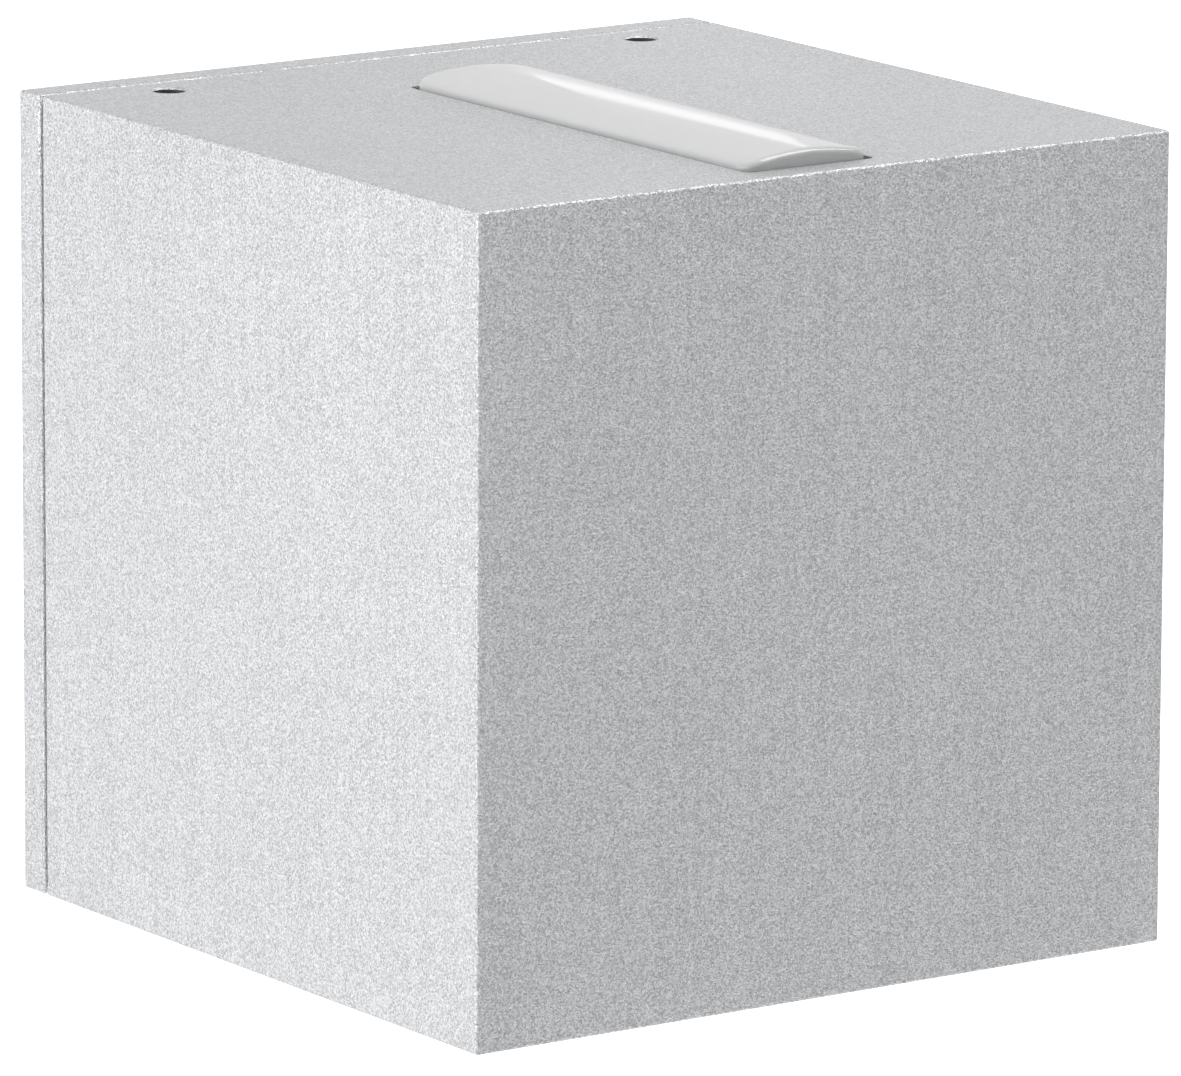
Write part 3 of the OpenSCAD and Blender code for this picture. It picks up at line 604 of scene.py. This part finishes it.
def grub_screw(name, node):
    """A threaded pin with a blunt point below and a hexagon socket above"""
    low, high = box_mm(node)
    base = Vector(((low.x + high.x) / 2, (low.y + high.y) / 2, low.z))
    length = high.z - low.z
    profile = [(0.0, 0.0), (GRUB_R * 0.5, 0.0), (GRUB_R - 0.25, POINT_LENGTH)]
    height = POINT_LENGTH + 0.1
    while height + THREAD_PITCH < length - 0.3:
        profile.append((GRUB_R - THREAD_DEPTH, height))
        profile.append((GRUB_R, height + THREAD_PITCH * 0.45))
        profile.append((GRUB_R, height + THREAD_PITCH * 0.6))
        height += THREAD_PITCH
    profile.append((GRUB_R - THREAD_DEPTH, height))
    profile.append((GRUB_R - 0.05, length - 0.28))
    profile.append((GRUB_R - 0.35, length))
    bm = bmesh.new()
    turned(bm, base, Z, profile, 24)
    top = base + Z * length
    ring = [edge for edge in bm.edges if edge.is_boundary]
    socket = bmesh.ops.create_circle(
        bm, segments=6, radius=HEX_FLATS / 2 / math.cos(math.pi / 6), matrix=Matrix.Translation(top)
    )["verts"]
    sides = list({edge for vert in socket for edge in vert.link_edges})
    bmesh.ops.subdivide_edges(bm, edges=sides, cuts=3)
    hexagon = [edge for edge in bm.edges if not edge.link_faces]
    bmesh.ops.bridge_loops(bm, edges=ring + hexagon)
    rim = [edge for edge in bm.edges if edge.is_boundary]
    wall = bmesh.ops.extrude_edge_only(bm, edges=rim)["geom"]
    for part in wall:
        if isinstance(part, bmesh.types.BMVert):
            part.co.z -= HEX_DEPTH
    bmesh.ops.holes_fill(bm, edges=[edge for edge in bm.edges if edge.is_boundary], sides=0)
    bmesh.ops.recalc_face_normals(bm, faces=bm.faces)
    return make(name, bm, node, "stainless_steel", STAINLESS)


grub_screw("left_grub_screw", "grub_screw_left")
grub_screw("right_grub_screw", "grub_screw_right")


# ---------- leads ----------

MAINS_R = 1.1
DIODE_R = 0.7
LEAD_SIDES = 16
BEND_STEPS = 10


def rounded_route(points, bend):
    """Replaces each inner corner of a route by a curve"""
    route = [points[0]]
    for before, corner, after in zip(points, points[1:], points[2:]):
        back, ahead = before - corner, after - corner
        reach = min(bend, 0.49 * back.length, 0.49 * ahead.length)
        start = corner + back.normalized() * reach
        end = corner + ahead.normalized() * reach
        for step in range(BEND_STEPS + 1):
            t = step / BEND_STEPS
            route.append(start.lerp(corner, t).lerp(corner.lerp(end, t), t))
    route.append(points[-1])
    return route


def lead(bm, points, radius, bend):
    """Extrudes a ring along a rounded route, turned at each point to face along it"""
    route = rounded_route([Vector(p) for p in points], bend)
    ways = [(b - a).normalized() for a, b in zip(route, route[1:])]
    faces = [ways[0], *((a + b).normalized() for a, b in zip(ways, ways[1:])), ways[-1]]
    turn = faces[0].to_track_quat("Z", "Y")
    ring = bmesh.ops.create_circle(
        bm, segments=LEAD_SIDES, radius=radius, cap_ends=True,
        matrix=Matrix.Translation(route[0]) @ turn.to_matrix().to_4x4(),
    )["verts"]
    stripe = bm.verts.layers.float["stripe"]
    start_cap = ring[0].link_faces[0]
    for number, vert in enumerate(ring):
        vert[stripe] = 1.0 if number % LEAD_SIDES < LEAD_SIDES // 2 else 0.0
    edges = list(start_cap.edges)
    for here, there, was, now in zip(route, route[1:], faces, faces[1:]):
        made = bmesh.ops.extrude_edge_only(bm, edges=edges)["geom"]
        verts = [part for part in made if isinstance(part, bmesh.types.BMVert)]
        move = (
            Matrix.Translation(there)
            @ was.rotation_difference(now).to_matrix().to_4x4()
            @ Matrix.Translation(-here)
        )
        bmesh.ops.transform(bm, matrix=move, verts=verts)
        fresh = set(verts)
        edges = [
            part for part in made
            if isinstance(part, bmesh.types.BMEdge) and set(part.verts) <= fresh
        ]
    bmesh.ops.holes_fill(bm, edges=edges, sides=0)


def leads(name, node, slot, finish, radius, bend, *routes):
    """One piece holding a lead along each route"""
    bm = bmesh.new()
    bm.verts.layers.float.new("stripe")
    for points in routes:
        lead(bm, points, radius, bend)
    bmesh.ops.recalc_face_normals(bm, faces=bm.faces)
    return make(name, bm, node, slot, finish)


leads(
    "plate_earth_wire", "plate_earth_lead", "lead_green_yellow", EARTH, MAINS_R, 3,
    [(-21.5, -9.7, -20), (-18.5, -9.7, -20), (-18, -13, -17), (-15, -13, -17)],
)
leads(
    "live_wire", "live_lead", "lead_brown", BROWN, MAINS_R, 7,
    [(-8, -35.3, -25.5), (-8, -49.9, -25.5), (-18, -51.9, -9), (-18, -64.5, -9)],
)
leads(
    "neutral_wire", "neutral_lead", "lead_blue", BLUE, MAINS_R, 7,
    [(0, -35.3, -25.5), (0, -49.9, -25.5), (-12, -51.9, -9), (-12, -64.5, -9)],
)
leads(
    "housing_earth_wire", "earth_lead", "lead_green_yellow", EARTH, MAINS_R, 6,
    [
        (8, -35.3, -25.5), (8, -49.9, -25.5), (23.5, -79.8, -24),
        (23.5, -87.8, -24), (27.5, -87.8, -24),
    ],
)
leads(
    "upper_diode_wires", "led_leads_top", "lead_red", RED, DIODE_R, 6,
    *(
        [
            (10.5 + 3 * i, -64.5, 8), (10.5 + 3 * i, -58.5, 8), (10.5 + 3 * i, -52.5, 29.2),
            ((i - 0.5) * 2.5, -20.4, 29.2), ((i - 0.5) * 2.5, -12.4, 29.2),
            ((i - 0.5) * 2.5, -12.4, 38.9), ((i - 0.5) * 2.5, -17.2, 38.9),
        ]
        for i in (0, 1)
    ),
)
leads(
    "lower_diode_wires", "led_leads_bottom", "lead_black", BLACK, DIODE_R, 6,
    *(
        [
            (16.5 + 3 * i, -64.5, 8), (16.5 + 3 * i, -58.5 + 2.5 * i, 8),
            (24 + 2.5 * i, -50.5, -29.2), (24 + 2.5 * i, -12.4 + 1.8 * i, -29.2),
            (24 + 2.5 * i, -12.4 + 1.8 * i, -38.9), ((0.5 - i) * 2.5, -12.4 + 1.8 * i, -38.9),
            ((0.5 - i) * 2.5, -17.2, -38.9),
        ]
        for i in (0, 1)
    ),
)


# ---------- pieces whose CAD shape is right, with their edges rounded ----------

SOFTENED = [
    ("grommet_moulding", "cable_grommet", "seal_rubber", GREY_RUBBER, 0.25),
    ("socket_moulding", "terminal_socket", "terminal_plastic", WHITE_PLASTIC, 0.3),
    ("contact_pin_set", "contact_pins", "brass", BRASS, 0.1),
    ("clamp_screws", "terminal_screws", "zinc_steel", ZINC, 0.1),
    ("socket_fixing_screws", "socket_screws", "zinc_steel", ZINC, 0.12),
    ("plate_ring_terminal", "plate_earth_tag", "brass", BRASS, 0.12),
    ("plate_stud_screw", "plate_earth_screw", "brass", BRASS, 0.15),
    ("plate_stud_washer", "plate_earth_washer", "zinc_steel", ZINC, 0.1),
    ("upper_lens_seal", "lens_seal_top", "seal_rubber", RUBBER, 0.12),
    ("lower_lens_seal", "lens_seal_bottom", "seal_rubber", RUBBER, 0.12),
    ("upper_carrier", "carrier_top", "bare_aluminium", ALUMINIUM, 0.2),
    ("lower_carrier", "carrier_bottom", "bare_aluminium", ALUMINIUM, 0.2),
    ("upper_carrier_screws", "carrier_screws_top", "zinc_steel", ZINC, 0.12),
    ("lower_carrier_screws", "carrier_screws_bottom", "zinc_steel", ZINC, 0.12),
    ("upper_board_screws", "board_screws_top", "zinc_steel", ZINC, 0.1),
    ("lower_board_screws", "board_screws_bottom", "zinc_steel", ZINC, 0.1),
    ("upper_reflector", "reflector_top", "reflector_white", WHITE_GLOSS, 0.15),
    ("lower_reflector", "reflector_bottom", "reflector_white", WHITE_GLOSS, 0.15),
    ("driver_housing", "driver_case", "driver_plastic", DRIVER_PLASTIC, 0.4),
    ("driver_terminal_blocks", "driver_terminals", "terminal_plastic", WHITE_PLASTIC, 0.25),
    ("driver_fixing_screws", "driver_screws", "zinc_steel", ZINC, 0.12),
    ("plug_moulding", "terminal_plug", "terminal_plastic", WHITE_PLASTIC, 0.3),
    ("housing_ring_terminal", "housing_earth_tag", "brass", BRASS, 0.12),
    ("housing_stud_screw", "housing_earth_screw", "brass", BRASS, 0.15),
    ("housing_stud_washer", "housing_earth_washer", "zinc_steel", ZINC, 0.1),
]

for name, node, slot, finish, width in SOFTENED:
    copy = merged_copy(node)
    round_edges(copy, sharp_edges(copy), width)
    make(name, copy, node, slot, finish)


# ---------- diodes, boards and driver parts ----------

DIODES = 6
CANS = ((15, -6, 3.5), (22.5, -7, 3), (-16, 7, 3.5), (-23, 8, 2.5))


def driver_lid():
    """The CAD lid with moulded ribs between its two terminal windows"""
    bm = merged_copy("driver_cover")
    round_edges(bm, sharp_edges(bm), 0.35)
    low, high = box_mm("driver_cover")
    for i in range(5):
        x = -4.5 + 2.25 * i
        block(bm, (x - 0.5, high.y - 0.3, low.z + 4), (x + 0.5, high.y + 0.5, high.z - 4), 0.22)
    for x in (low.x + 6, high.x - 6):
        for z in (low.z + 4, high.z - 4):
            if (x < 0) == (z < 0):
                continue
            turned(
                bm, Vector((x, high.y - 0.2, z)), Y,
                [(0, 0), (2.0, 0), (2.0, 0.45), (1.75, 0.6), (0.9, 0.6), (0.7, 0.3), (0, 0.3)], 28,
            )
    return make("driver_lid", bm, "driver_cover", "driver_plastic", DRIVER_PLASTIC)


driver_lid()


def diodes(name, node, side):
    """Each diode is a white package with a round phosphor window"""
    low, high = box_mm(node)
    size = high.x - low.x
    first, last = low.y + size / 2, high.y - size / 2
    foot, top = min(abs(low.z), abs(high.z)), max(abs(low.z), abs(high.z))
    window = top - foot - 0.3
    bm = bmesh.new()
    for i in range(DIODES):
        y = first + (last - first) * i / (DIODES - 1)
        block(bm, (low.x, y - size / 2, foot), (high.x, y + size / 2, top - 0.1), 0.18)
        lamp = turned(
            bm, Vector((0, y, foot + 0.3)), Z,
            [(0, 0), (1.3, 0), (1.3, window - 0.04), (1.15, window), (0, window)], 24,
        )
        paint(lamp, 1)
    if side < 0:
        bmesh.ops.scale(bm, vec=(1, 1, -1), verts=bm.verts)
        bmesh.ops.reverse_faces(bm, faces=bm.faces)
    return make(name, bm, node, "led_phosphor", WHITE_GLOSS, PHOSPHOR)


diodes("upper_diodes", "leds_top", 1)
diodes("lower_diodes", "leds_bottom", -1)


def capacitors():
    """Sleeved cans with a rolled groove and a bare top"""
    bm = bmesh.new()
    low, high = box_mm("driver_capacitors")
    tall = high.y - low.y
    for x, z, radius in CANS:
        base = Vector((x, low.y, z))
        turned(
            bm, base, Y,
            [
                (0, 0), (radius - 0.2, 0), (radius, 0.3), (radius, 1.2), (radius - 0.25, 1.6),
                (radius, 2.0), (radius, tall - 0.4), (radius - 0.4, tall - 0.05), (0, tall - 0.05),
            ],
        )
        lid = turned(
            bm, base + Y * (tall - 0.3), Y,
            [(0, 0), (radius - 0.8, 0), (radius - 0.8, 0.28), (radius - 1.0, 0.3), (0, 0.3)],
        )
        paint(lid, 1)
    return make(
        "smoothing_capacitors", bm, "driver_capacitors", "capacitor_sleeve", SLEEVE, ALUMINIUM
    )


def transformer():
    """Ferrite core with a taped winding between its two flanges"""
    low, high = box_mm("driver_transformer")
    bm = bmesh.new()
    block(bm, low, (high.x, low.y + 1.5, high.z), 0.2)
    block(bm, (low.x, high.y - 1.5, low.z), high, 0.2)
    block(bm, (low.x + 0.6, low.y + 1.4, -2.5), (low.x + 2, high.y - 1.4, 2.5), 0.1)
    block(bm, (high.x - 2, low.y + 1.4, -2.5), (high.x - 0.6, high.y - 1.4, 2.5), 0.1)
    winding = block(
        bm, (low.x + 1.5, low.y + 1.4, low.z + 1), (high.x - 1.5, high.y - 1.4, high.z - 1), 0.9, 4
    )
    paint(winding, 1)
    return make("driver_winding", bm, "driver_transformer", "transformer_tape", FERRITE, TAPE)


capacitors()
transformer()

CARRIED = {
    "thermal_pad_top": THERMAL,
    "thermal_pad_bottom": THERMAL,
    "led_board_top": BOARD_WHITE,
    "led_board_bottom": BOARD_WHITE,
    "board_plug_top": WHITE_PLASTIC,
    "board_plug_bottom": WHITE_PLASTIC,
    "driver_board": BOARD_GREEN,
}
for node, finish in CARRIED.items():
    mesh = frame["nodes"][node].data
    mesh.materials.clear()
    mesh.materials.append(finish)


# ---------- floor, light and camera ----------

FLOOR_Z = -0.45
FLOOR_SEEN = 0.9
FLOOR_GLOW = 0.2
AIR_SEEN = 1.05
AIR_BEHIND = 0.88
AIR_AHEAD = 0.24
AHEAD = (0.45, -0.89, 0.0)


def floor():
    """A white floor far below: bright where the camera sees it, and clear from underneath"""
    bm = bmesh.new()
    bmesh.ops.create_grid(bm, x_segments=1, y_segments=1, size=14.0)
    bmesh.ops.translate(bm, vec=(0, 0, FLOOR_Z), verts=bm.verts)
    mesh = bpy.data.meshes.new("studio_floor")
    bm.to_mesh(mesh)
    bm.free()
    piece = bpy.data.objects.new("studio_floor", mesh)
    bpy.context.scene.collection.objects.link(piece)
    finish = bpy.data.materials.new("pale floor")
    finish.use_nodes = True
    tree = finish.node_tree
    principled = tree.nodes["Principled BSDF"]
    principled.inputs["Base Color"].default_value = (0.9, 0.9, 0.9, 1)
    principled.inputs["Roughness"].default_value = 0.9
    principled.inputs["Emission Color"].default_value = (1, 1, 1, 1)
    seen = add(tree, "LightPath").outputs["Is Camera Ray"]
    glow = maths(tree, "MAXIMUM", maths(tree, "MULTIPLY", seen, FLOOR_SEEN), FLOOR_GLOW)
    tree.links.new(glow, principled.inputs["Emission Strength"])
    clear = add(tree, "BsdfTransparent")
    back = add(tree, "NewGeometry").outputs["Backfacing"]
    both = add(tree, "MixShader", {0: back, 1: principled.outputs[0], 2: clear.outputs[0]})
    tree.links.new(both.outputs[0], tree.nodes["Material Output"].inputs["Surface"])
    mesh.materials.append(finish)


def studio_air():
    """White surroundings that give less light from the camera's side, so the front is darker"""
    world = bpy.data.worlds.new("studio")
    bpy.context.scene.world = world
    world.use_nodes = True
    tree = world.node_tree
    seen = add(tree, "LightPath").outputs["Is Camera Ray"]
    way = add(tree, "TexCoord").outputs["Generated"]
    ahead = add(
        tree, "VectorMath", {0: way}, {1: AHEAD}, operation="DOT_PRODUCT"
    ).outputs["Value"]
    dim = add(
        tree, "MapRange",
        {"Value": ahead},
        {"From Min": -0.2, "From Max": 1.0, "To Min": AIR_BEHIND, "To Max": AIR_AHEAD},
    ).outputs[0]
    strength = maths(tree, "MAXIMUM", dim, maths(tree, "MULTIPLY", seen, AIR_SEEN))
    tree.nodes["Background"].inputs["Color"].default_value = (1, 1, 1, 1)
    tree.links.new(strength, tree.nodes["Background"].inputs["Strength"])


def soft_light(name, spot, target, size, power, height=None):
    """A flat light that the camera doesn't see"""
    data = bpy.data.lights.new(name, "AREA")
    data.shape = "RECTANGLE"
    data.size = size
    data.size_y = height or size
    data.energy = power
    lamp = bpy.data.objects.new(name, data)
    lamp.location = spot
    lamp.rotation_mode = "QUATERNION"
    lamp.rotation_quaternion = (Vector(target) - Vector(spot)).to_track_quat("-Z", "Y")
    lamp.visible_camera = False
    bpy.context.scene.collection.objects.link(lamp)


MIDDLE = (0.0, -0.05, 0.0)
floor()
studio_air()
soft_light("left_softbox", (-1.4, 0.25, 0.4), MIDDLE, 1.0, 18)
soft_light("overhead_softbox", (0.55, -0.5, 1.2), MIDDLE, 0.9, 17.5)
soft_light("lens_glint", (0.15, 0.142, 0.088), (0.003, -0.058, 0.0515), 0.038, 0.0024, 0.036)

CAMERA_SPOT = Vector((-0.7704, -1.1648, 0.2844))
CAMERA_AIM = Vector((-0.00024, -0.05094, -0.0027))
CAMERA_ROLL = math.radians(0.235)
data = bpy.data.cameras.new("camera")
data.sensor_width = 36.0
data.lens = 346.9
data.clip_end = 50.0
camera = bpy.data.objects.new("camera", data)
camera.location = CAMERA_SPOT
camera.rotation_mode = "QUATERNION"
aim = (CAMERA_AIM - CAMERA_SPOT).to_track_quat("-Z", "Y").to_matrix()
camera.rotation_quaternion = (aim @ Matrix.Rotation(CAMERA_ROLL, 3, "Z")).to_quaternion()
bpy.context.scene.collection.objects.link(camera)
bpy.context.scene.camera = camera
bpy.context.scene.view_settings.view_transform = "Standard"
